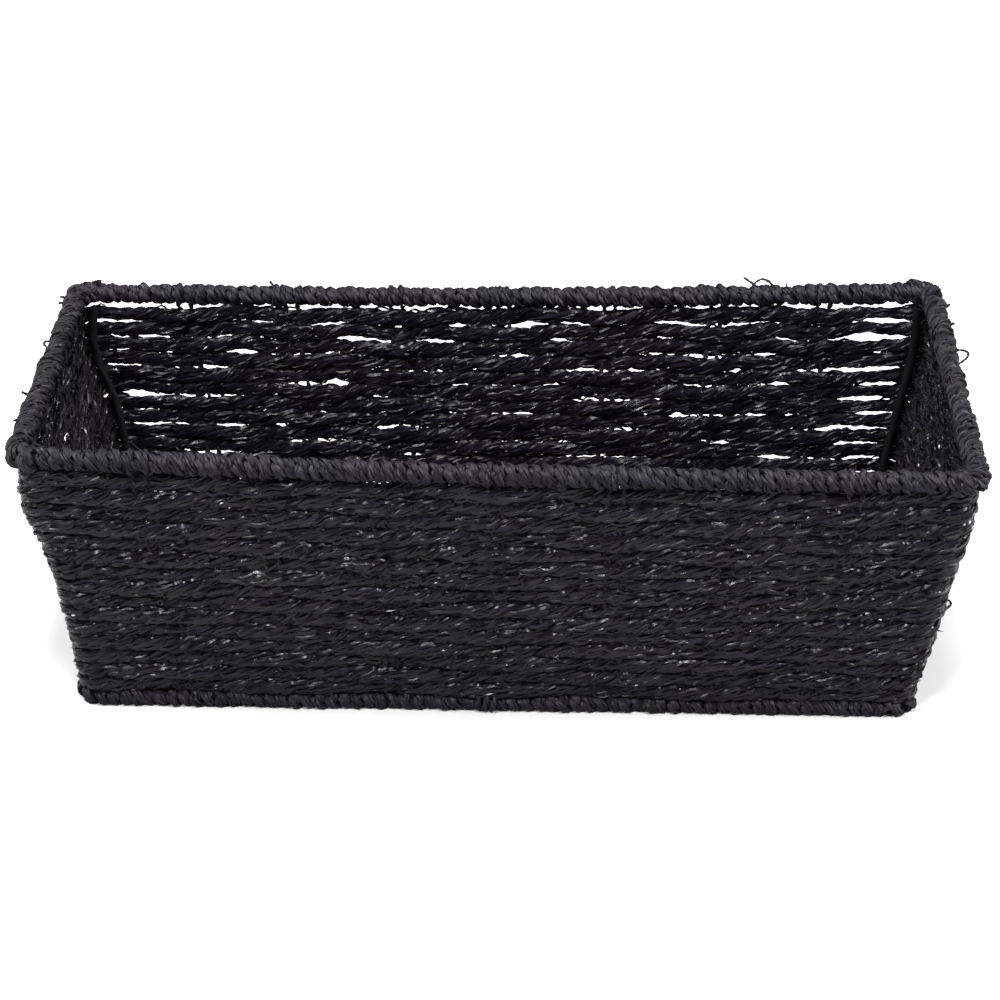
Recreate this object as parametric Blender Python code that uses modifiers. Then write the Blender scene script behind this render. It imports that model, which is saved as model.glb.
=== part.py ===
"""Rectangular storage basket of twisted seagrass rope on a steel wire frame.

Metres, +Z up. The origin is on the ground under the middle of the basket, +X runs along
the long side and -Y is the front. The walls flare: each horizontal section is a rounded
rectangle that grows evenly from the foot wire up to the rim wire.
"""

from collections import namedtuple
from math import cos, pi, radians, sin

import bmesh
import bpy
from mathutils import Vector

# Driving dimensions
MM = 0.001
RIM_LENGTH = 391 * MM  # between the middles of the rim wire's short sides
RIM_WIDTH = 180 * MM
FOOT_LENGTH = 353 * MM  # the same at the foot wire
FOOT_WIDTH = 155 * MM
WALL_HEIGHT = 117.5 * MM  # from the middle of the foot wire to the middle of the rim wire
WIRE_RADIUS = 1.5 * MM
WIRE_BEND = 6 * MM  # radius of both rings at their corners
RIM_WRAP_RADIUS = 4.2 * MM
RIM_CORNER_RADIUS = 4.7 * MM  # the wrap is fuller round a corner
FOOT_WRAP_RADIUS = 3.8 * MM
WRAP_LEAD = 1 * MM  # a corner's wrap runs this far along the sides it joins
POST_RADIUS = 2.0 * MM
ROPE_RADIUS = 2.9 * MM
ROPE_BEND = 8 * MM  # radius of a weft row at the corners
STAKE_RADIUS = 1.0 * MM
STAKE_SPREAD = 2.75 * MM  # half the distance between the two legs of a folded stake
MAT_THICKNESS = 6 * MM
GAP = 0.3 * MM

# What repeats
WEFT_ROWS = 15
ROW_PITCH = 7.05 * MM
LONG_STAKES = 7
SHORT_STAKES = 3
BEND_STEPS = 3
WRAP_SIDES = 8

# Worked out from the driving dimensions
FOOT_Z = FOOT_WRAP_RADIUS * cos(pi / WRAP_SIDES)  # a flat of the foot wrap lies on the ground
RIM_Z = FOOT_Z + WALL_HEIGHT
FIRST_ROW_Z = FOOT_Z + FOOT_WRAP_RADIUS + ROPE_RADIUS + GAP
WEAVE = ROPE_RADIUS + STAKE_RADIUS + GAP  # how far a row swings to pass a stake
WRAP_BORE = WIRE_RADIUS + GAP

UP = Vector((0, 0, 1))
Wall = namedtuple("Wall", "name way normal stakes")


def wall_of(name, way, stakes):
    """A wall, with the way along it (anticlockwise seen from above) and the way out of it."""
    return Wall(name, Vector(way), Vector(way).cross(UP), stakes)


WALLS = (
    wall_of("front", (1, 0, 0), LONG_STAKES),
    wall_of("right", (0, 1, 0), SHORT_STAKES),
    wall_of("back", (-1, 0, 0), LONG_STAKES),
    wall_of("left", (0, -1, 0), SHORT_STAKES),
)


def material(name, colour, roughness, metallic):
    """A plain Principled material."""
    made = bpy.data.materials.new(name)
    made.use_nodes = True
    shader = made.node_tree.nodes["Principled BSDF"]
    shader.inputs["Base Color"].default_value = (*colour, 1)
    shader.inputs["Roughness"].default_value = roughness
    shader.inputs["Metallic"].default_value = metallic
    return made


def half_sizes(wall, z):
    """Half the length of a wall at height z, and its distance from the basket's middle."""
    share = (z - FOOT_Z) / WALL_HEIGHT
    length = FOOT_LENGTH + (RIM_LENGTH - FOOT_LENGTH) * share
    width = FOOT_WIDTH + (RIM_WIDTH - FOOT_WIDTH) * share
    return (length / 2, width / 2) if wall.way.x else (width / 2, length / 2)


def wall_point(wall, z, along, outward=0.0):
    """A point over the wires: along runs from -1 at a wall's first corner to 1 at its last."""
    half, reach = half_sizes(wall, z)
    return wall.way * half * along + wall.normal * (reach + outward) + UP * z


def corner_arc(wall, z, radius):
    """The arc that takes a ring from the end of one wall to the start of the next."""
    centre = wall_point(wall, z, 1) - (wall.way + wall.normal) * radius
    turns = [pi / 2 * step / BEND_STEPS for step in range(BEND_STEPS + 1)]
    return [centre + (wall.normal * cos(turn) + wall.way * sin(turn)) * radius for turn in turns]


def straight_run(wall, z, margin):
    """The two ends of a ring's straight along one wall, a margin short of its corners."""
    end = 1 - margin / half_sizes(wall, z)[0]
    return [wall_point(wall, z, -end), wall_point(wall, z, end)]


def stake_places(wall):
    """Where the stakes stand along a wall, from -1 to 1."""
    return [-1 + 2 * (number + 1) / (wall.stakes + 1) for number in range(wall.stakes)]


def tube(name, points, radius, sides, cyclic=False, hollow=False, tilt=0.0):
    """A curve object that sweeps a round section along straight segments."""
    curve = bpy.data.curves.new(name, "CURVE")
    curve.dimensions = "3D"
    curve.bevel_depth = radius
    curve.bevel_resolution = (sides - 4) // 2
    curve.use_fill_caps = not (cyclic or hollow)
    curve.twist_mode = "Z_UP"
    spline = curve.splines.new("POLY")
    spline.points.add(len(points) - 1)
    for point, place in zip(spline.points, points):
        point.co = (*place, 1)
        point.tilt = tilt
    spline.use_cyclic_u = cyclic
    return bpy.data.objects.new(name, curve)


def place(obj, finish):
    """Gives an object its material and puts it in the basket's collection."""
    obj.data.materials.append(finish)
    basket.objects.link(obj)
    return obj


def wrap(name, points, radius, finish):
    """A sleeve of cord around a stretch of wire: an open tube thickened inwards."""
    guide = tube(name, points, radius, WRAP_SIDES, hollow=True, tilt=pi / WRAP_SIDES)
    bpy.context.scene.collection.objects.link(guide)
    evaluated = guide.evaluated_get(bpy.context.evaluated_depsgraph_get())
    mesh = bpy.data.meshes.new_from_object(evaluated)
    curve = guide.data
    bpy.data.objects.remove(guide)
    bpy.data.curves.remove(curve)
    mesh.name = name
    mesh.materials.clear()
    mesh.shade_smooth()
    mesh.set_sharp_from_angle(angle=radians(40))
    sleeve = place(bpy.data.objects.new(name, mesh), finish)
    thick = sleeve.modifiers.new("Wrap thickness", "SOLIDIFY")
    thick.thickness = radius - WRAP_BORE
    thick.offset = -1
    return sleeve


def ring(name, z, finish):
    """A closed ring of wire."""
    points = []
    for wall in WALLS:
        points += corner_arc(wall, z, WIRE_BEND)
    place(tube(name, points, WIRE_RADIUS, 6, cyclic=True), finish)


def wraps(part, z, radius, corner_radius, finish):
    """The cord wound round a ring: one sleeve to a side and one to a corner."""
    for wall in WALLS:
        run = straight_run(wall, z, WIRE_BEND + WRAP_LEAD + GAP)
        wrap(f"{part}_wrap_{wall.name}", run, radius, finish)
    for wall, following in zip(WALLS, WALLS[1:] + WALLS[:1]):
        arc = corner_arc(wall, z, WIRE_BEND)
        arc = [arc[0] - wall.way * WRAP_LEAD, *arc, arc[-1] + following.way * WRAP_LEAD]
        wrap(f"{part}_corner_wrap_{wall.name}_{following.name}", arc, corner_radius, finish)


def corner_post(wall, following, finish):
    """The upright rod inside a corner, behind the bends of the weft rows."""
    diagonal = wall.way + wall.normal
    reach = ROPE_BEND - ROPE_RADIUS - 2 * GAP - POST_RADIUS
    inward = diagonal * ROPE_BEND - diagonal.normalized() * reach
    low = FOOT_Z + FOOT_WRAP_RADIUS + GAP
    high = RIM_Z - RIM_CORNER_RADIUS - GAP
    ends = [wall_point(wall, z, 1) - inward for z in (low, high)]
    place(tube(f"corner_post_{wall.name}_{following.name}", ends, POST_RADIUS, 8), finish)


def stake(wall, number, share, finish):
    """One upright cord folded in half: two legs joined by a bend above the foot wire."""
    low = FOOT_Z + FOOT_WRAP_RADIUS + GAP + STAKE_RADIUS + STAKE_SPREAD
    high = RIM_Z - RIM_WRAP_RADIUS - GAP
    turns = [pi * step / BEND_STEPS for step in range(BEND_STEPS + 1)]
    offsets = [(-STAKE_SPREAD, high)]
    offsets += [(-STAKE_SPREAD * cos(turn), low - STAKE_SPREAD * sin(turn)) for turn in turns]
    offsets += [(STAKE_SPREAD, high)]
    points = [wall_point(wall, z, share) + wall.way * shift for shift, z in offsets]
    place(tube(f"stake_{wall.name}_{number}", points, STAKE_RADIUS, 6), finish)


def weft_row(number, finish):
    """One row of rope, woven in and out of the stakes and round the four corners."""
    z = FIRST_ROW_Z + ROW_PITCH * number
    points = []
    passed = number
    for wall in WALLS:
        hold = (STAKE_SPREAD + STAKE_RADIUS) / half_sizes(wall, z)[0]
        for share in stake_places(wall):
            swing = WEAVE if passed % 2 else -WEAVE
            for step in (-hold, hold):
                points.append(wall_point(wall, z, share + step, swing))
            passed += 1
        points += corner_arc(wall, z, ROPE_BEND)
    place(tube(f"weft_row_{number + 1:02d}", points, ROPE_RADIUS, 6, cyclic=True), finish)


def base_mat(finish):
    """The woven floor, which fills the space inside the foot wraps and lies on the ground."""
    half_length = FOOT_LENGTH / 2 - FOOT_WRAP_RADIUS - GAP
    half_width = FOOT_WIDTH / 2 - FOOT_WRAP_RADIUS - GAP
    mesh = bpy.data.meshes.new("base_mat")
    slab = bmesh.new()
    bmesh.ops.create_cube(slab, size=2)
    bmesh.ops.scale(slab, vec=(half_length, half_width, MAT_THICKNESS / 2), verts=slab.verts)
    slab.to_mesh(mesh)
    slab.free()
    mat = bpy.data.objects.new("base_mat", mesh)
    mat.location.z = MAT_THICKNESS / 2
    place(mat, finish)
    corners = mat.modifiers.new("Soft edges", "BEVEL")
    corners.width = 1.2 * MM
    corners.segments = 2


for old in list(bpy.data.objects):
    bpy.data.objects.remove(old)

basket = bpy.data.collections.new("seagrass_storage_basket")
bpy.context.scene.collection.children.link(basket)

rope = material("black_seagrass_rope", (0.012, 0.011, 0.013), 0.55, 0.0)
cord = material("black_wrapping_cord", (0.02, 0.018, 0.021), 0.7, 0.0)
steel = material("black_steel_wire", (0.015, 0.015, 0.015), 0.4, 1.0)

ring("rim_wire", RIM_Z, steel)
ring("foot_wire", FOOT_Z, steel)
wraps("rim", RIM_Z, RIM_WRAP_RADIUS, RIM_CORNER_RADIUS, cord)
wraps("foot", FOOT_Z, FOOT_WRAP_RADIUS, FOOT_WRAP_RADIUS, cord)
for wall, following in zip(WALLS, WALLS[1:] + WALLS[:1]):
    corner_post(wall, following, steel)
for wall in WALLS:
    for number, share in enumerate(stake_places(wall), 1):
        stake(wall, number, share, cord)
for number in range(WEFT_ROWS):
    weft_row(number, rope)
base_mat(rope)
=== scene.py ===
"""The looks of a rectangular storage basket of black seagrass.

Every rope and cord is built as it is made: blades of grass twisted into plies, and two plies
twisted into a cord. The cords then weave, wind and tie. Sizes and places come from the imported
frame.
"""

from collections import namedtuple
from math import cos, pi, radians, sin, tau

import bpy
import numpy as np
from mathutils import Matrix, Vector


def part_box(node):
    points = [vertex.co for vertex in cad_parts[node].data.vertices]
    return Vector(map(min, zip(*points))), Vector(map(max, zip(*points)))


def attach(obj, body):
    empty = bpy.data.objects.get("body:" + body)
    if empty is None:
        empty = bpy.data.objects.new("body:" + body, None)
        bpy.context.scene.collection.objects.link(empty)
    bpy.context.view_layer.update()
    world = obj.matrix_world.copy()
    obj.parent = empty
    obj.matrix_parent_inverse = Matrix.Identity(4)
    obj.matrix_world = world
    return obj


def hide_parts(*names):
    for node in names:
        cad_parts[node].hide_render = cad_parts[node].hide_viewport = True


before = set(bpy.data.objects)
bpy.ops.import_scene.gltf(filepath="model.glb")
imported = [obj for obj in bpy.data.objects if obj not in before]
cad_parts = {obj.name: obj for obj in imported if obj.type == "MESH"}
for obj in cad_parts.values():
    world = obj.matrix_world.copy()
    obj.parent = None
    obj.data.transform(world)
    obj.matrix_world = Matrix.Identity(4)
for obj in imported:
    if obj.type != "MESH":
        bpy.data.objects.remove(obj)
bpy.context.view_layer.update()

MM = 0.001
UP = np.array([0.0, 0.0, 1.0])
WIRE_RADIUS = 1.5 * MM
WIRE_BEND = 6.0 * MM
ROPE_BEND = 8.0 * MM
WEAVE = 1.1 * MM  # how far a row swings to pass a stake
POST_RADIUS = 2.0 * MM
STAKE_SPREAD = 2.75 * MM  # half the distance between a stake's two legs
RIM_SAG = 2.3 * MM  # how far the long sides of the rim hang in their middle
RIM_WARP = 2.8 * MM  # how far the rim's corners stand above and below its plane, by turns
LEAN = 1.6 * MM  # how far the walls lean to the right at half their height
BULGE = 3.7 * MM  # how far the short sides bulge out below the rim
BULGE_LEAN = 1.2 * MM  # how much more of that bulge is on the left
BULGE_HEIGHT = 0.77  # where the bulge is widest, as a share of the height
BULGE_REACH = 0.15  # how far it fades above and below, as a share too
ROW_STEP = 1.7 * MM  # between the rings of points along a row's blades
WIRE_STEP = 1.0 * MM  # the same along the two wire rings

# The way along each wall, anticlockwise seen from above, and its number of stakes.
Wall = namedtuple("Wall", "name way normal stakes")


def wall_of(name, way, stakes):
    """A wall, with the way out of it worked out from the way along it."""
    way = np.array(way)
    return Wall(name, way, np.cross(way, UP), stakes)


WALLS = (
    wall_of("front", (1.0, 0.0, 0.0), 7),
    wall_of("right", (0.0, 1.0, 0.0), 3),
    wall_of("back", (-1.0, 0.0, 0.0), 7),
    wall_of("left", (0.0, -1.0, 0.0), 3),
)

# A cord: the plies' distance from its middle, the blades' distance from the middle of their
# ply, a blade's half thickness and half width, the length of one turn of the plies, how many
# turns the blades make back in it, the plies, the blades in each, the corners of a blade's
# section, and the cord's squash outwards and sideways. A core fills the middle of each row.
Cord = namedtuple("Cord", "ply blade thick wide turn back plies blades sides squash")
ROPE = Cord(0.55 * MM, 1.8 * MM, 0.30 * MM, 0.52 * MM, 12.0 * MM, 0.93, 2, 14, 4, (0.85, 1.39))
CORE = Cord(0.0, 0.0, 1.7 * MM, 1.7 * MM, 14.4 * MM, 0.0, 1, 1, 6, (0.80, 1.45))
WINDING = Cord(1.0 * MM, 0.9 * MM, 0.36 * MM, 0.52 * MM, 11.0 * MM, 1.0, 2, 7, 4, (0.80, 1.25))
STAKE = Cord(0.55 * MM, 0.0, 0.7 * MM, 0.95 * MM, 8.0 * MM, 0.0, 2, 1, 8, (1.0, 1.0))
STRING = Cord(0.3 * MM, 0.0, 0.35 * MM, 0.5 * MM, 5.0 * MM, 0.0, 2, 1, 8, (1.0, 1.0))
FLOOR = ROPE._replace(blades=3, ply=1.35 * MM, blade=0.8 * MM, thick=0.85 * MM, wide=1.4 * MM,
                      back=1.0, squash=(0.62, 1.15))
PLY_SHAPE = 0.95, 1.08  # the plies are a little flattened against each other
STRIP_EDGE = radians(48)  # a blade is a flat strip with crisp edges

# How unevenly a cord is laid: the turns of the cord, its plies and its blades in radians, and
# the plies' and blades' places and sizes as shares of what they are in an even cord.
CORD_TURN, PLY_TURN, BLADE_TURN, BLADE_TILT = 0.5, 0.25, 0.35, 0.55
PLY_STRAY, BLADE_STRAY, THICK_STRAY, WIDE_STRAY = 0.12, 0.22, 0.22, 0.28
POP_FROM, POP_HEIGHT = 0.72, 2.2  # how rarely and how far a blade stands off its cord


# ---------------------------------------------------------------- paths


def ring_size(node):
    """Half the length and half the width of a wire ring at its middle line, and its height."""
    low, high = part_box(node)
    return high.x - WIRE_RADIUS, high.y - WIRE_RADIUS, (low.z + high.z) / 2


FOOT = ring_size("foot_wire")
RIM = ring_size("rim_wire")


def half_sizes(wall, z):
    """Half the length of a wall at height z, and its distance from the basket's middle."""
    share = (z - FOOT[2]) / (RIM[2] - FOOT[2])
    length, width = (foot + (rim - foot) * share for foot, rim in zip(FOOT[:2], RIM[:2]))
    return (length, width) if wall.way[0] else (width, length)


def wall_point(wall, z, share):
    """A point on a wall at height z, share running from -1 to 1 along it."""
    half, reach = half_sizes(wall, z)
    return wall.way * half * share + wall.normal * reach + UP * z


def slumped(points):
    """The points as the basket really stands: a rim that sags and twists, walls that lean."""
    share = np.clip((points[..., 2] - FOOT[2]) / (RIM[2] - FOOT[2]), 0, 1.1)
    x, y = points[..., 0] / RIM[0], points[..., 1] / RIM[1]
    moved = points.copy()
    moved[..., 2] += share * (RIM_WARP * x * y - RIM_SAG * (1 - np.clip(x * x, 0, 1)))
    moved[..., 0] += LEAN * np.sin(pi * np.clip(share, 0, 1))
    swell = np.exp(-(((share - BULGE_HEIGHT) / BULGE_REACH) ** 2))
    moved[..., 0] += swell * (BULGE * x**3 - BULGE_LEAN)
    return moved


def resampled(step, points, *others):
    """A closed path and other values along it, with a point every step.

    Each of the others is a pair: the values, and the value where the path closes.
    """
    gaps = np.linalg.norm(np.roll(points, -1, 0) - points, axis=1)
    run = np.concatenate(([0], np.cumsum(gaps)))
    count = int(round(run[-1] / step))
    at = np.arange(count) * run[-1] / count
    made = []
    for values, last in ((points, points[0]), *others):
        table = np.vstack((values.reshape(len(points), -1), np.reshape(last, (1, -1))))
        made.append(np.stack([np.interp(at, run, column) for column in table.T], 1).squeeze())
    return made


def ring_path(z, bend, step):
    """A closed ring over the wires: its points, outward normals and places.

    The place counts the walls: 0 to 1 along the front, 1 to 2 along the right side, and so on.
    """
    points, normals, places = [], [], []
    for number, wall in enumerate(WALLS):
        half, reach = half_sizes(wall, z)
        shares = np.linspace(-1, 1, 121)[:, None] * (1 - bend / half)
        points.append(wall.way * half * shares + wall.normal * reach)
        normals.append(np.tile(wall.normal, (len(shares), 1)))
        places.append(number + 0.5 + shares[:, 0] / 2)
        turns = np.linspace(0, pi / 2, 26)[1:-1, None]
        round_way = wall.normal * np.cos(turns) + wall.way * np.sin(turns)
        points.append(wall.way * (half - bend) + wall.normal * (reach - bend) + round_way * bend)
        normals.append(round_way)
        ends = number + 1 - bend / half / 2, number + 1 + bend / reach / 2
        places.append(np.linspace(*ends, 26)[1:-1])
    points, normals, places = np.vstack(points), np.vstack(normals), np.concatenate(places)
    points[:, 2] = z
    return resampled(step, points, (normals, normals[0]), (places, places[0] + 4))


def eased(at, keys, values):
    """Values between keys on the loop of four walls, easing in and out of each key."""
    order = np.argsort(keys)
    keys, values = np.asarray(keys)[order], np.asarray(values)[order]
    keys = np.concatenate((keys[-1:] - 4, keys, keys[:1] + 4))
    values = np.concatenate((values[-1:], values, values[:1]))
    before = np.clip(np.searchsorted(keys, at % 4, side="right") - 1, 0, len(keys) - 2)
    t = (at % 4 - keys[before]) / (keys[before + 1] - keys[before])
    return values[before] + (values[before + 1] - values[before]) * t * t * (3 - 2 * t)


def noise(rng, count, knots, closed, columns=1):
    """Smooth random values from -1 to 1 along a path, one column for each value wanted."""
    knots = max(int(round(knots)), 3)
    table = rng.uniform(-1, 1, (knots + (0 if closed else 2), columns))
    if closed:
        table = np.vstack((table, table[:1]))
    at = np.linspace(0, knots if closed else knots + 1, count, endpoint=not closed)
    before = np.minimum(at.astype(int), len(table) - 2)
    t = (at - before)[:, None]
    t = t * t * (3 - 2 * t)
    return table[before] * (1 - t) + table[before + 1] * t


# ---------------------------------------------------------------- cords


def unit(vectors):
    """The same directions, with a length of 1."""
    return vectors / np.linalg.norm(vectors, axis=-1, keepdims=True)


def cross_frame(path, outward, closed):
    """Two unit directions across a path, the first outwards, the run along it, and its length."""
    if closed:
        along = unit(np.roll(path, -1, 0) - np.roll(path, 1, 0))
        steps = np.linalg.norm(np.roll(path, -1, 0) - path, axis=1)
    else:
        along = unit(np.gradient(path, axis=0))
        steps = np.append(np.linalg.norm(np.diff(path, axis=0), axis=1), 0)
    side = unit(outward - along * (outward * along).sum(1, keepdims=True))
    run = np.concatenate(([0], np.cumsum(steps)[:-1]))
    return side, np.cross(side, along), run, steps.sum()


def blades_of(path, outward, cord, rng, closed, size=None, loose=1.0):
    """Each blade of a cord along a path: rings of points, unrolled places, and tone.

    size is an optional factor along the path, and loose scales how much the blades stray.
    """
    count = len(path)
    side, over, run, length = cross_frame(path, outward, closed)
    turns = length / cord.turn
    back = turns * cord.back
    if closed:
        turns, back = max(round(turns), 1), round(back)
    size = np.ones(count) if size is None else size
    spin = rng.uniform(0, tau) + tau * turns * run / length
    spin = spin + CORD_TURN * loose * noise(rng, count, length / (1.7 * cord.turn), closed)[:, 0]
    theta = tau * (np.arange(cord.sides) + 0.5) / cord.sides
    flare = 2**0.5 if cord.sides == 4 else 1.0  # four sides make a flat strip of full width
    knots = length / (0.6 * cord.turn)
    made = []
    for ply in range(cord.plies):
        ply_turn = spin + tau * ply / cord.plies
        ply_turn = ply_turn + PLY_TURN * loose * noise(rng, count, knots, closed)[:, 0]
        ply_reach = cord.ply * (1 + PLY_STRAY * loose * noise(rng, count, knots, closed)[:, 0])
        ply_middle = ply_reach * np.exp(1j * ply_turn)
        for blade in range(cord.blades):
            stray = noise(rng, count, knots, closed, 5)
            turn = tau * blade / cord.blades - tau * back * run / length
            turn = turn + BLADE_TURN * loose * stray[:, 0]
            spot = PLY_SHAPE[0] * np.cos(turn) + 1j * PLY_SHAPE[1] * np.sin(turn)
            pops = noise(rng, count, knots * 0.8, closed)[:, 0]
            pops = np.clip(pops - POP_FROM, 0, 1) * POP_HEIGHT
            reach = cord.blade * (1 + BLADE_STRAY * loose * stray[:, 1] + loose * pops)
            thick = cord.thick * (1 + THICK_STRAY * stray[:, 2])
            wide = cord.wide * (1 - 0.10 * loose + WIDE_STRAY * loose * stray[:, 3])
            section = flare * (thick[:, None] * np.cos(theta) + 1j * wide[:, None] * np.sin(theta))
            tilt = np.exp(1j * (ply_turn + turn + BLADE_TILT * loose * stray[:, 4]))
            middle = ply_middle + reach * spot * np.exp(1j * ply_turn)
            spots = middle[:, None] + section * tilt[:, None]
            spots = spots * size[:, None]
            rings = (
                path[:, None]
                + side[:, None] * (spots.real * cord.squash[0])[..., None]
                + over[:, None] * (spots.imag * cord.squash[1])[..., None]
            )
            flat = np.empty((count, cord.sides, 3))
            flat[..., 0] = cord.thick * np.cos(theta)
            flat[..., 1] = cord.wide * np.sin(theta)
            flat[..., 2] = (run + rng.uniform(0, 5))[:, None]
            tone = rng.uniform(0.15, 0.85) + 0.25 * noise(rng, count, knots * 0.5, closed)
            made.append((rings, flat, np.repeat(tone, cord.sides, axis=1), closed))
    return made


def mesh_object(name, strands, material):
    """One object from the rings of any number of strands, each closed on itself or capped."""
    corners, starts, base, filled = [], [], 0, 0
    for rings, _, _, closed in strands:
        count, sides = rings.shape[:2]
        spans = count if closed else count - 1
        i, j = np.meshgrid(np.arange(spans), np.arange(sides), indexing="ij")
        k, m = (i + 1) % count, (j + 1) % sides
        quads = np.stack((i * sides + j, k * sides + j, k * sides + m, i * sides + m), -1)
        corners.append(base + quads.reshape(-1))
        starts.append(filled + 4 * np.arange(i.size))
        filled += quads.size
        if not closed:
            first, last = np.arange(sides), (count - 1) * sides + np.arange(sides)[::-1]
            corners.append(base + np.concatenate((first, last)))
            starts.append(filled + np.array([0, sides]))
            filled += 2 * sides
        base += count * sides
    mesh = bpy.data.meshes.new(name)
    corners, starts = np.concatenate(corners), np.concatenate(starts)
    mesh.vertices.add(base)
    spots = slumped(np.vstack([strand[0].reshape(-1, 3) for strand in strands]))
    mesh.vertices.foreach_set("co", spots.ravel())
    mesh.loops.add(len(corners))
    mesh.loops.foreach_set("vertex_index", corners.astype(np.int32))
    mesh.polygons.add(len(starts))
    mesh.polygons.foreach_set("loop_start", starts.astype(np.int32))
    unrolled = mesh.attributes.new("unrolled", "FLOAT_VECTOR", "POINT")
    unrolled.data.foreach_set("vector", np.vstack([s[1].reshape(-1, 3) for s in strands]).ravel())
    tone = mesh.attributes.new("tone", "FLOAT", "POINT")
    tone.data.foreach_set("value", np.concatenate([s[2].ravel() for s in strands]))
    mesh.update(calc_edges=True)
    mesh.validate()
    mesh.shade_smooth()
    mesh.set_sharp_from_angle(angle=STRIP_EDGE)
    mesh.materials.append(material)
    made = bpy.data.objects.new(name, mesh)
    bpy.context.scene.collection.objects.link(made)
    return made


def settle(piece, slot, *nodes):
    """Puts a piece on the basket's only body, in place of the CAD nodes it shows."""
    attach(piece, "root")
    if nodes:
        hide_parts(*nodes)


# ---------------------------------------------------------------- materials


def grass_material(name, dark, light, shine, roughness, grain):
    """Dyed grass: a tone to each blade, fine fibres along it, uneven dye and a broken gloss.

    shine is the specular level, and grain the strength of the fibres' relief.
    """
    made = bpy.data.materials.new(name)
    made.use_nodes = True
    nodes, links = made.node_tree.nodes, made.node_tree.links
    shader = nodes["Principled BSDF"]
    shader.inputs["Specular IOR Level"].default_value = shine

    unrolled = nodes.new("ShaderNodeAttribute")
    unrolled.attribute_name = "unrolled"
    tone = nodes.new("ShaderNodeAttribute")
    tone.attribute_name = "tone"

    def streaks(across, along, detail):
        """Noise drawn out along the blades, with so many streaks to a metre each way."""
        stretch = nodes.new("ShaderNodeMapping")
        stretch.inputs["Scale"].default_value = (across, across, along)
        links.new(unrolled.outputs["Vector"], stretch.inputs["Vector"])
        texture = nodes.new("ShaderNodeTexNoise")
        texture.inputs["Scale"].default_value = 1
        texture.inputs["Detail"].default_value = detail
        links.new(stretch.outputs["Vector"], texture.inputs["Vector"])
        return texture.outputs["Fac"]

    fibres = streaks(3200, 150, 3)
    patches = streaks(300, 90, 2)

    shade = nodes.new("ShaderNodeMath")
    shade.operation = "MULTIPLY"
    links.new(fibres, shade.inputs[0])
    links.new(tone.outputs["Fac"], shade.inputs[1])
    colour = nodes.new("ShaderNodeValToRGB")
    colour.color_ramp.elements[0].position = 0.06
    colour.color_ramp.elements[0].color = (*dark, 1)
    colour.color_ramp.elements[1].position = 0.5
    colour.color_ramp.elements[1].color = (*light, 1)
    links.new(shade.outputs[0], colour.inputs["Fac"])

    place = nodes.new("ShaderNodeTexCoord")
    dye = nodes.new("ShaderNodeTexNoise")
    dye.inputs["Scale"].default_value = 14
    links.new(place.outputs["Object"], dye.inputs["Vector"])
    hue = nodes.new("ShaderNodeValToRGB")
    hue.color_ramp.elements[0].position = 0.4
    hue.color_ramp.elements[0].color = (0.92, 1.00, 1.05, 1)
    hue.color_ramp.elements[1].position = 0.6
    hue.color_ramp.elements[1].color = (1.10, 0.94, 1.10, 1)
    links.new(dye.outputs["Fac"], hue.inputs["Fac"])
    dyed = nodes.new("ShaderNodeMix")
    dyed.data_type = "RGBA"
    dyed.blend_type = "MULTIPLY"
    dyed.inputs["Factor"].default_value = 1
    links.new(colour.outputs["Color"], dyed.inputs["A"])
    links.new(hue.outputs["Color"], dyed.inputs["B"])
    links.new(dyed.outputs["Result"], shader.inputs["Base Color"])

    gloss = nodes.new("ShaderNodeMapRange")
    gloss.inputs["From Min"].default_value = 0.3
    gloss.inputs["From Max"].default_value = 0.7
    gloss.inputs["To Min"].default_value = roughness - 0.15
    gloss.inputs["To Max"].default_value = roughness + 0.25
    links.new(patches, gloss.inputs["Value"])
    links.new(gloss.outputs["Result"], shader.inputs["Roughness"])

    bump = nodes.new("ShaderNodeBump")
    bump.inputs["Strength"].default_value = grain
    bump.inputs["Distance"].default_value = 0.2 * MM
    links.new(fibres, bump.inputs["Height"])
    links.new(bump.outputs["Normal"], shader.inputs["Normal"])
    return made


def steel_material():
    """Black painted wire with a slightly uneven coat."""
    made = bpy.data.materials.new("black_painted_steel")
    made.use_nodes = True
    nodes, links = made.node_tree.nodes, made.node_tree.links
    shader = nodes["Principled BSDF"]
    shader.inputs["Base Color"].default_value = (0.0015, 0.0015, 0.0018, 1)
    shader.inputs["Specular IOR Level"].default_value = 0.04
    texture = nodes.new("ShaderNodeTexNoise")
    texture.inputs["Scale"].default_value = 900
    gloss = nodes.new("ShaderNodeMapRange")
    gloss.inputs["To Min"].default_value = 0.6
    gloss.inputs["To Max"].default_value = 0.85
    links.new(texture.outputs["Fac"], gloss.inputs["Value"])
    links.new(gloss.outputs["Result"], shader.inputs["Roughness"])
    return made


ROPE_GRASS = grass_material(
    "black_seagrass",
    dark=(0.0005, 0.0004, 0.0007),
    light=(0.0052, 0.0047, 0.0068),
    shine=0.14,
    roughness=0.26,
    grain=0.2,
)
CORD_GRASS = grass_material(
    "black_seagrass_cord",
    dark=(0.0014, 0.0012, 0.0017),
    light=(0.0105, 0.0096, 0.0122),
    shine=0.11,
    roughness=0.5,
    grain=0.4,
)
STEEL = steel_material()


# ---------------------------------------------------------------- walls

ROWS = sorted(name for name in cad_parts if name.startswith("weft_row"))
ROW_HEIGHTS = [sum(corner.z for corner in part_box(name)) / 2 for name in ROWS]


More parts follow.
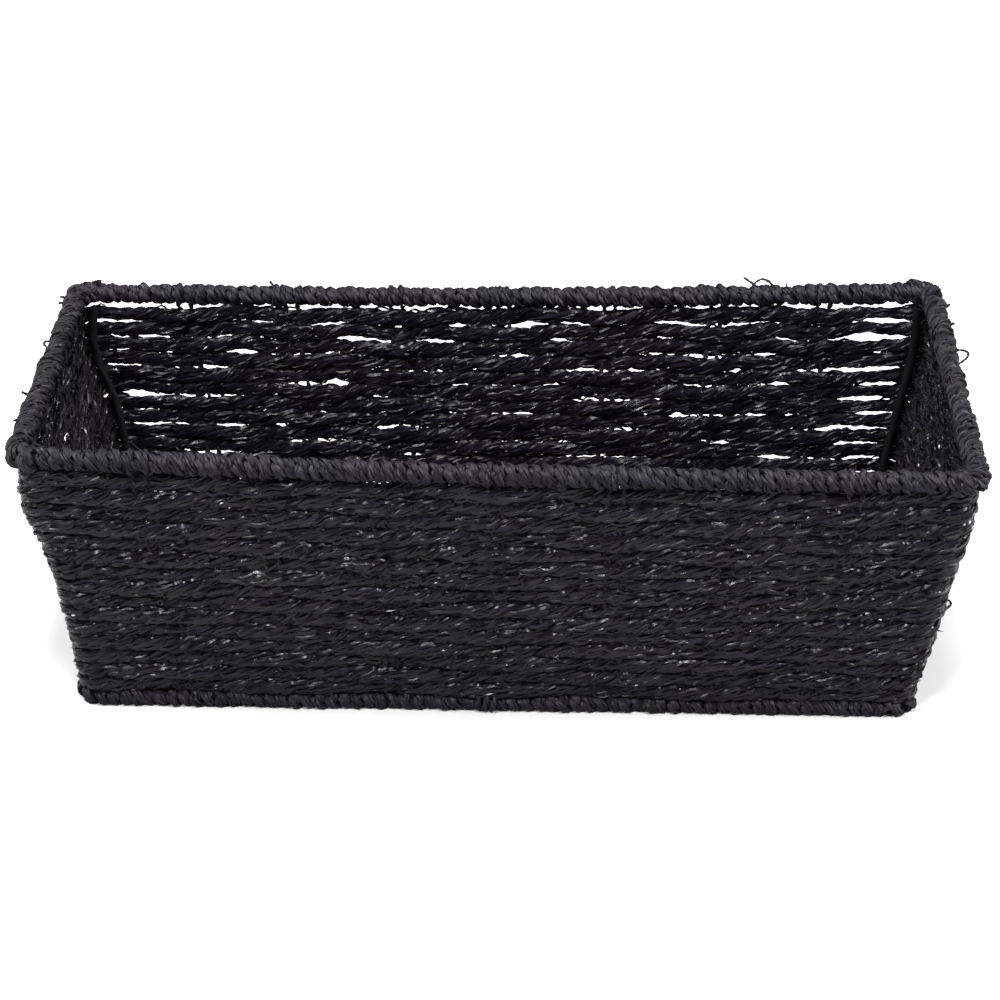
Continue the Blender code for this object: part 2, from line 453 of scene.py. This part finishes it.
def weave(places, first, z, rng):
    """How far outwards a row runs: past the stakes by turns, and plainly round the corners."""
    keys, values = [], []
    passed = first
    for number, wall in enumerate(WALLS):
        half, reach = half_sizes(wall, z)
        for stake in range(wall.stakes):
            keys.append(number + (stake + 1) / (wall.stakes + 1))
            values.append((WEAVE if passed % 2 else -WEAVE) * rng.uniform(0.8, 1.1))
            passed += 1
        keys += [number + 1 - ROPE_BEND / half / 2, (number + 1 + ROPE_BEND / reach / 2) % 4]
        values += [0.0, 0.0]
    return eased(places, keys, values)


# How many openings there are between a pair of rows, and how fast they fade from row to row.
OPENINGS = {"front": 2, "right": 0, "back": 9, "left": 0}
OPENING_FADE = 0.45


def openings(rng):
    """Where neighbouring rows stand apart: the row below, the place, the reach and the gap."""
    made = []
    for row in range(len(ROWS) - 1):
        for number, wall in enumerate(WALLS):
            half = half_sizes(wall, ROW_HEIGHTS[row])[0]
            for _ in range(OPENINGS[wall.name]):
                reach = rng.uniform(2.2, 5.5) * MM / half / 2
                place = number + rng.uniform(0.06, 0.96)
                made.append((row, place, reach, rng.uniform(0.9, 1.8) * MM))
    return made


def lifts(row, places, gaps):
    """How far a row is pushed up or down by the openings near it."""
    total = np.zeros(len(places))
    for below, place, reach, gap in gaps:
        away = row - below - 1 if row > below else below - row
        if away > 2:
            continue
        distance = (places - place + 2) % 4 - 2
        bell = np.exp(-((distance / reach) ** 2) / 2)
        total += (1 if row > below else -1) * gap / 2 * OPENING_FADE**away * bell
    return total


TIED_FADE = 0.75  # how much of the top row's height passes to the row below, and so on


def tied_down(places, rng):
    """How high the top row stands: close to the rim, but held down at each stake's lashing."""
    keys, values = [], []
    for number, wall in enumerate(WALLS):
        for step in range(2 * wall.stakes + 1):
            keys.append(number + (step + 1) / (2 * wall.stakes + 2))
            values.append((1.5 if step % 2 else 3.0) * MM * rng.uniform(0.6, 1.3))
    return eased(places, keys, values)


def fullness(places, rng):
    """How thick a row is along the loop: full at the corners and thin beside two of the posts."""
    corners = [(number, 1.08) for number in range(4)]
    middles = [(0.1, 1.0), (0.9, 1.0), (1.5, 1.08), (2.12, 1.05), (2.9, 1.05), (3.5, 1.08)]
    beside = [(2.05, 1 - rng.uniform(0.12, 0.32)), (2.955, 1 - rng.uniform(0.0, 0.2))]
    keys, values = zip(*corners, *middles, *beside)
    return eased(places, keys, values)


def make_walls():
    """The rows of rope. Neighbouring rows swell and dip together."""
    rng = np.random.default_rng(7)
    gaps = openings(rng)
    swell = [noise(rng, 400, 26, True)[:, 0] for _ in range(4)]
    spots = np.linspace(0, 4, 400, endpoint=False)
    tied = tied_down(spots, rng)
    for row, name in enumerate(ROWS):
        z = ROW_HEIGHTS[row]
        path, outward, places = ring_path(z, ROPE_BEND, ROW_STEP)
        count = len(path)
        path = path + outward * weave(places, row, z, rng)[:, None]
        blend = row / (len(ROWS) - 1) * 3
        low = min(int(blend), 2)
        shared = swell[low] * (low + 1 - blend) + swell[low + 1] * (blend - low)
        path[:, 2] += 0.55 * MM * np.interp(places % 4, spots, shared, period=4)
        path[:, 2] += 0.25 * MM * noise(rng, count, 40, True)[:, 0] + lifts(row, places, gaps)
        below_top = len(ROWS) - 1 - row
        path[:, 2] += np.interp(places % 4, spots, tied, period=4) * TIED_FADE**below_top
        path += outward * (0.35 * MM * noise(rng, count, 50, True))
        size = fullness(places, rng) * (1 + 0.06 * noise(rng, count, 34, True)[:, 0])
        strands = blades_of(path, outward, ROPE, rng, True, size, 1.2)
        strands += blades_of(path, outward, CORE, rng, True, size, loose=0.0)
        settle(mesh_object(f"rope_row_{row + 1:02d}", strands, ROPE_GRASS), "seagrass_rope", name)


# ---------------------------------------------------------------- rim and foot

CORNER_REACH = WIRE_BEND + 2 * MM  # where a side's winding stops, short of the corner
CORNER_OVERLAP = 1.15  # how far over that a corner's own winding runs, as a factor


def uneven(rng, count):
    """How thick a wound cord is along its length, around 1."""
    return 1 + 0.12 * noise(rng, count, count / 14, False)[:, 0]


def coil(path, outward, pitch, reach, rng, step):
    """Cord wound round a stretch of wire: the coil's path and its outward directions."""
    side, over, run, length = cross_frame(path, outward, False)
    turns = length / pitch
    count = int(turns * np.hypot(tau * reach, pitch) / step)
    at = np.linspace(0, length, count)
    angle = rng.uniform(0, tau) - tau * at / pitch
    angle = angle + 0.9 * noise(rng, count, turns / 2.5, False)[:, 0]

    def along(values):
        """Values of the stretch of wire, at the coil's own points."""
        return np.stack([np.interp(at, run, column) for column in values.T], 1)

    out = along(side) * np.cos(angle)[:, None] + along(over) * np.sin(angle)[:, None]
    lumps = 1 + 0.17 * noise(rng, count, turns * 1.5, False)
    lumps = lumps + 0.05 * noise(rng, count, turns / 5, False)
    return along(path) + out * reach * lumps, out


def make_windings(part, ring, seed, pitch, reach, fuller, step):
    """The wire ring and the cord round it: a winding to each side and to each corner.

    pitch is from turn to turn, reach from the wire to the cord, and fuller the factor by which
    the corners are thicker.
    """
    rng = np.random.default_rng(seed)
    path, outward, places = ring_path(ring[2], WIRE_BEND, WIRE_STEP)
    wire = Cord(0.0, 0.0, WIRE_RADIUS, WIRE_RADIUS, 1.0, 0.0, 1, 1, 10, (1.0, 1.0))
    strands = blades_of(path, outward, wire, rng, True, loose=0.0)
    settle(mesh_object(f"{part}_wire_bent", strands, STEEL), "steel_wire", f"{part}_wire")
    for number, wall in enumerate(WALLS):
        half, side_reach = half_sizes(wall, ring[2])
        following = WALLS[(number + 1) % 4]
        own = CORNER_REACH / half / 2
        other = CORNER_REACH / side_reach / 2
        side = (places > number + own) & (places < number + 1 - own)
        wound, out = coil(path[side], outward[side], pitch, reach, rng, step)
        size = uneven(rng, len(wound))
        strands = blades_of(wound, out, WINDING, rng, False, size, 1.3)
        settle(mesh_object(f"{part}_winding_{wall.name}", strands, CORD_GRASS),
               "wrapping_cord", f"{part}_wrap_{wall.name}")
        near = (places + 2 - (number + 1)) % 4 - 2
        corner = np.flatnonzero((near > -own * CORNER_OVERLAP) & (near < other * CORNER_OVERLAP))
        corner = corner[np.argsort(near[corner])]
        wound, out = coil(path[corner], outward[corner], pitch, reach * fuller, rng, step)
        size = fuller * uneven(rng, len(wound))
        strands = blades_of(wound, out, WINDING, rng, False, size, 1.3)
        settle(mesh_object(f"{part}_winding_{wall.name}_{following.name}", strands, CORD_GRASS),
               "wrapping_cord", f"{part}_corner_wrap_{wall.name}_{following.name}")


# ---------------------------------------------------------------- stakes


def smoothed(points, step, passes):
    """An open path with a point every step, its bends softened."""
    gaps = np.linalg.norm(np.diff(points, axis=0), axis=1)
    run = np.concatenate(([0], np.cumsum(gaps)))
    at = np.linspace(0, run[-1], max(int(run[-1] / step), 4))
    path = np.stack([np.interp(at, run, points[:, i]) for i in range(3)], 1)
    for _ in range(passes):
        path[1:-1] = (path[:-2] + 2 * path[1:-1] + path[2:]) / 4
    return path


def make_stakes():
    """The two legs of each stake's cord, their ends wrapped over the rim."""
    rng = np.random.default_rng(31)
    low = FOOT[2] + 4.5 * MM
    for wall in WALLS:
        for number in range(wall.stakes):
            share = -1 + 2 * (number + 1) / (wall.stakes + 1)
            strands = []
            for side in (-1, 1):
                lash = rng.uniform(4.2, 4.8) * MM
                shift = wall.way * side * STAKE_SPREAD * rng.uniform(0.85, 1.1)
                heights = np.linspace(low, RIM[2] - 7 * MM, 60)
                leg = np.array([wall_point(wall, z, share) for z in heights]) + shift
                sweep = rng.uniform(250, 340)
                turns = np.radians(np.linspace(-110, -110 - sweep, 46))[:, None]
                drift = wall.way * np.linspace(0, rng.uniform(-3, 3) * MM, 46)[:, None]
                middle = wall_point(wall, RIM[2], share) + shift + drift
                ring = middle + (wall.normal * np.cos(turns) + UP * np.sin(turns)) * lash
                path = smoothed(np.vstack((leg, ring)), 0.9 * MM, 3)
                strands += blades_of(path, np.tile(wall.way, (len(path), 1)), STAKE, rng, False)
            settle(mesh_object(f"stake_cord_{wall.name}_{number + 1}", strands, CORD_GRASS),
                   "wrapping_cord", f"stake_{wall.name}_{number + 1}")


# ---------------------------------------------------------------- corner posts


def make_posts():
    """The rod inside each corner: its box's inner corner is its foot, and the outer one its top."""
    rng = np.random.default_rng(61)
    rod = Cord(0.0, 0.0, POST_RADIUS, POST_RADIUS, 30 * MM, 0.0, 1, 1, 12, (1.0, 1.0))
    for name in [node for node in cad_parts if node.startswith("corner_post")]:
        low, high = np.array(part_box(name))
        inner, outer = np.sort(np.abs([low, high]), axis=0)
        foot = (inner + POST_RADIUS) * np.sign(low)
        top = (outer - POST_RADIUS) * np.sign(low)
        foot[2], top[2] = low[2], high[2]
        path = foot + (top - foot) * np.linspace(0, 1, 60)[:, None]
        path[1:-1, :2] += 0.25 * MM * noise(rng, 58, 9, False, 2)
        strands = blades_of(path, np.tile((1.0, 0.0, 0.0), (60, 1)), rod, rng, False, loose=0.2)
        settle(mesh_object(name.replace("post", "rod"), strands, STEEL), "steel_wire", name)


# ---------------------------------------------------------------- floor


def make_floor():
    """The woven floor: ropes along the basket, woven over and under cords across it."""
    rng = np.random.default_rng(41)
    low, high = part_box("base_mat")
    rows, cords, middle, swing = 21, 9, 3.1 * MM, 0.9 * MM
    crossings = [low.x + (high.x - low.x) * (number + 1) / (cords + 1) for number in range(cords)]
    strands = []
    for row in range(rows):
        x = np.arange(low.x + 1 * MM, high.x - 1 * MM, 2 * MM)
        path = np.zeros((len(x), 3))
        path[:, 0] = x
        path[:, 1] = low.y + (row + 0.5) * (high.y - low.y) / rows
        path[:, 1] += 0.4 * MM * noise(rng, len(x), 20, False)[:, 0]
        over = [swing if (row + number) % 2 else -swing for number in range(cords)]
        path[:, 2] = middle + np.interp(x, [low.x, *crossings, high.x], [0, *over, 0])
        strands += blades_of(path, np.tile(UP, (len(x), 1)), FLOOR, rng, False)
    settle(mesh_object("floor_ropes", strands, ROPE_GRASS), "seagrass_rope", "base_mat")
    strands = []
    for number, x in enumerate(crossings):
        y = np.arange(low.y, high.y, 1.5 * MM)
        for side in (-1, 1):
            path = np.zeros((len(y), 3))
            path[:, 0] = x + side * 2 * MM
            path[:, 1] = y
            phase = (y - low.y) / (high.y - low.y) * rows * pi
            path[:, 2] = middle - np.sin(phase) * swing * (-1 if number % 2 else 1)
            strands += blades_of(path, np.tile(UP, (len(y), 1)), STAKE, rng, False)
    settle(mesh_object("floor_cords", strands, CORD_GRASS), "wrapping_cord")


# ---------------------------------------------------------------- loose fibres


def fibre(start, out, along, length, rng):
    """One loose end of grass: a thin, curved, tapering strip."""
    t = np.linspace(0, 1, 9)[:, None]
    lean = rng.uniform(-1.2, 1.2)
    curl = rng.uniform(-0.8, 0.8)
    drop = rng.uniform(-0.5, 0.5)
    path = start + out * length * (t - 0.25 * t**2) + along * length * (lean * t + curl * t**2)
    path = path + UP * length * drop * t**2
    thick = rng.uniform(0.12, 0.2) * MM
    wide = rng.uniform(0.2, 0.5) * MM
    strip = Cord(0.0, 0.0, thick, wide, 1.0, 0.0, 1, 1, 5, (1.0, 1.0))
    taper = (1.15 - t[:, 0]) / 1.15
    outward = np.tile(along + 0.3 * UP, (len(path), 1))
    return blades_of(path, outward, strip, rng, False, taper, 0.2)


# Loose ends on the rim and the walls: the wall, the place along it from -1 to 1, the share of
# the height, the length, the lean along the wall, and whether it is a loop.
LOOSE_ENDS = (
    ("left", -0.88, 1.0, 5.0 * MM, -0.3, False),
    ("left", -0.84, 1.0, 4.2 * MM, 0.5, False),
    ("left", -0.30, 1.0, 4.0 * MM, 0.0, True),
    ("left", 0.35, 1.0, 5.0 * MM, -0.6, False),
    ("left", 0.62, 1.0, 3.5 * MM, 0.4, False),
    ("left", 0.80, 0.70, 3.0 * MM, 0.3, True),
    ("back", 0.54, 1.0, 4.5 * MM, 0.1, False),
    ("back", -0.47, 1.0, 2.8 * MM, 0.0, True),
    ("back", -0.60, 1.0, 6.0 * MM, 0.9, False),
    ("back", -0.62, 1.0, 5.0 * MM, 0.4, True),
    ("right", 0.78, 1.0, 4.0 * MM, 0.3, False),
    ("right", 0.20, 1.0, 6.5 * MM, 0.2, True),
    ("right", 0.60, 1.0, 4.0 * MM, -0.5, False),
    ("right", -0.85, 0.38, 4.5 * MM, 0.1, True),
    ("right", -0.50, 0.86, 4.0 * MM, 0.0, True),
    ("front", 0.62, 1.0, 3.5 * MM, 0.6, False),
    ("front", -0.35, 1.0, 3.0 * MM, 0.3, False),
)


def make_loose_ends():
    """Ends and small loops of cord that stick out, a hanging string, and a knot on the foot."""
    rng = np.random.default_rng(71)
    strands = []
    front, _, back, _ = WALLS
    t = np.linspace(0, 1, 16)[:, None]
    for name, share, height, length, lean, is_loop in LOOSE_ENDS:
        wall = next(wall for wall in WALLS if wall.name == name)
        z = FOOT[2] + (RIM[2] - FOOT[2]) * height
        out = unit(wall.normal * 0.35 + UP if wall is back else wall.normal + UP * 0.35)
        reach, sideways = t, lean * t + 0.4 * t**2
        if is_loop:
            reach, sideways = np.sin(pi * t), 1.1 * t - 0.55 * np.cos(pi * t)
        base = wall_point(wall, z, share) + out * 2.4 * MM
        path = base + out * length * reach + wall.way * length * sideways
        strands += blades_of(path, np.tile(UP, (16, 1)) + 0.1 * out, STRING, rng, False)

    turns = np.radians(np.linspace(60, 190, 14))[:, None]
    round_rim = (back.normal * np.cos(turns) + UP * np.sin(turns)) * 4.6 * MM
    over_rim = wall_point(back, RIM[2], 0.54) + round_rim
    drop = np.linspace(1, 14, 14)[:, None] * MM
    hanging = over_rim[-1] - UP * drop + back.normal * 0.06 * drop
    hanging = hanging + back.way * 0.8 * MM * np.sin(drop / (2 * MM))
    string = smoothed(np.vstack((over_rim, hanging)), 0.7 * MM, 2)
    strands += blades_of(string, np.tile(back.way, (len(string), 1)), STRING, rng, False)
    settle(mesh_object("loose_cord_ends", strands, CORD_GRASS), "wrapping_cord")

    t = np.linspace(0, 1, 70)[:, None]
    middle = wall_point(front, FOOT[2], -0.02) + front.normal * 1.4 * MM + UP * 1.3 * MM
    angle = tau * 2.6 * t
    knot = middle + front.way * (t - 0.5) * 9 * MM
    knot = knot + (front.normal * np.cos(angle) + UP * np.sin(angle)) * 3.4 * MM
    strands = blades_of(knot, front.normal * np.cos(angle) + UP * np.sin(angle), STAKE, rng, False)
    settle(mesh_object("foot_knot", strands, CORD_GRASS), "wrapping_cord")


def make_fibres():
    """Fine fibres that stick out of the rim's winding and of both faces of the walls."""
    rng = np.random.default_rng(51)
    strands = []
    path, outward, _ = ring_path(RIM[2], WIRE_BEND, WIRE_STEP)
    side, over, _, _ = cross_frame(path, outward, True)
    for _ in range(260):
        at = rng.integers(len(path))
        angle = rng.uniform(-1.2, 2.6)
        out = side[at] * cos(angle) + over[at] * sin(angle)
        along = np.cross(side[at], over[at])
        reach = rng.choice((2.0, 3.5, 6.0), p=(0.65, 0.28, 0.07)) * MM * rng.uniform(0.7, 1.3)
        strands += fibre(path[at] + out * 3.6 * MM, out, along, reach, rng)
    settle(mesh_object("loose_fibres_rim", strands, CORD_GRASS), "wrapping_cord")
    strands = []
    for z in ROW_HEIGHTS:
        path, outward, _ = ring_path(z, ROPE_BEND, 2 * MM)
        side, over, _, _ = cross_frame(path, outward, True)
        for _ in range(26):
            at = rng.integers(len(path))
            inside = rng.random() < 0.3
            out = side[at] * (-1 if inside else 1) + over[at] * rng.uniform(-0.6, 0.8)
            along = np.cross(side[at], over[at])
            reach = rng.choice((2.5, 4.0, 7.0), p=(0.6, 0.32, 0.08)) * MM * rng.uniform(0.7, 1.3)
            strands += fibre(path[at] + out * 2.2 * MM, unit(out), along, reach, rng)
    settle(mesh_object("loose_fibres_walls", strands, ROPE_GRASS), "seagrass_rope")


make_walls()
make_windings("rim", RIM, seed=21, pitch=5.0 * MM, reach=3.1 * MM, fuller=1.2, step=1.2 * MM)
make_windings("foot", FOOT, seed=22, pitch=5.2 * MM, reach=2.4 * MM, fuller=1.0, step=1.4 * MM)
make_stakes()
make_floor()
make_fibres()
make_loose_ends()
make_posts()


# ---------------------------------------------------------------- stage, light and camera


def paper_material():
    """Plain pale paper, nearly without gloss."""
    paper = bpy.data.materials.new("pale_paper")
    paper.use_nodes = True
    shader = paper.node_tree.nodes["Principled BSDF"]
    shader.inputs["Base Color"].default_value = (0.37, 0.37, 0.37, 1)
    shader.inputs["Roughness"].default_value = 0.9
    shader.inputs["Specular IOR Level"].default_value = 0.1
    return paper


def make_stage():
    """A plain pale floor, and soft lamps all round that light it evenly."""
    bpy.ops.mesh.primitive_plane_add(size=8)
    floor = bpy.context.object
    floor.name = "studio_floor"
    floor.data.materials.append(paper_material())

    world = bpy.data.worlds.new("studio")
    bpy.context.scene.world = world
    world.use_nodes = True
    world.node_tree.nodes["Background"].inputs["Color"].default_value = (1, 1, 1, 1)
    world.node_tree.nodes["Background"].inputs["Strength"].default_value = 0.4

    for name, place, size, power in (
        ("softbox_front_left", (-0.85, -1.10, 1.60), 0.30, 42),
        ("softbox_front", (-0.10, -0.95, 1.85), 0.30, 38),
        ("softbox_front_right", (0.85, -1.10, 1.60), 0.30, 32),
        ("softbox_top", (0.0, 0.1, 1.9), 0.6, 56),
        ("softbox_left", (-1.5, 0.0, 1.0), 0.4, 54),
        ("softbox_right", (1.5, 0.0, 0.8), 0.4, 60),
    ):
        lamp = bpy.data.lights.new(name, "AREA")
        lamp.size = size
        lamp.energy = power
        light = bpy.data.objects.new(name, lamp)
        light.location = place
        light.rotation_euler = Vector(place).to_track_quat("Z", "Y").to_euler()
        bpy.context.scene.collection.objects.link(light)


def make_camera():
    """The camera looks down on the front wall from a little to its right."""
    azimuth, elevation, roll, distance = radians(0.73), radians(27.46), radians(0.48), 1.3254
    target = Vector((0, 0, 0.0569 + FOOT[2]))
    back = Vector((sin(azimuth) * cos(elevation), -cos(azimuth) * cos(elevation), sin(elevation)))
    data = bpy.data.cameras.new("camera")
    data.lens = 108
    camera = bpy.data.objects.new("camera", data)
    camera.location = target + back * distance
    camera.rotation_euler = back.to_track_quat("Z", "Y").to_euler()
    camera.rotation_euler.rotate_axis("Z", roll)
    bpy.context.scene.collection.objects.link(camera)
    bpy.context.scene.camera = camera


make_stage()
make_camera()
bpy.context.scene.view_settings.view_transform = "Standard"
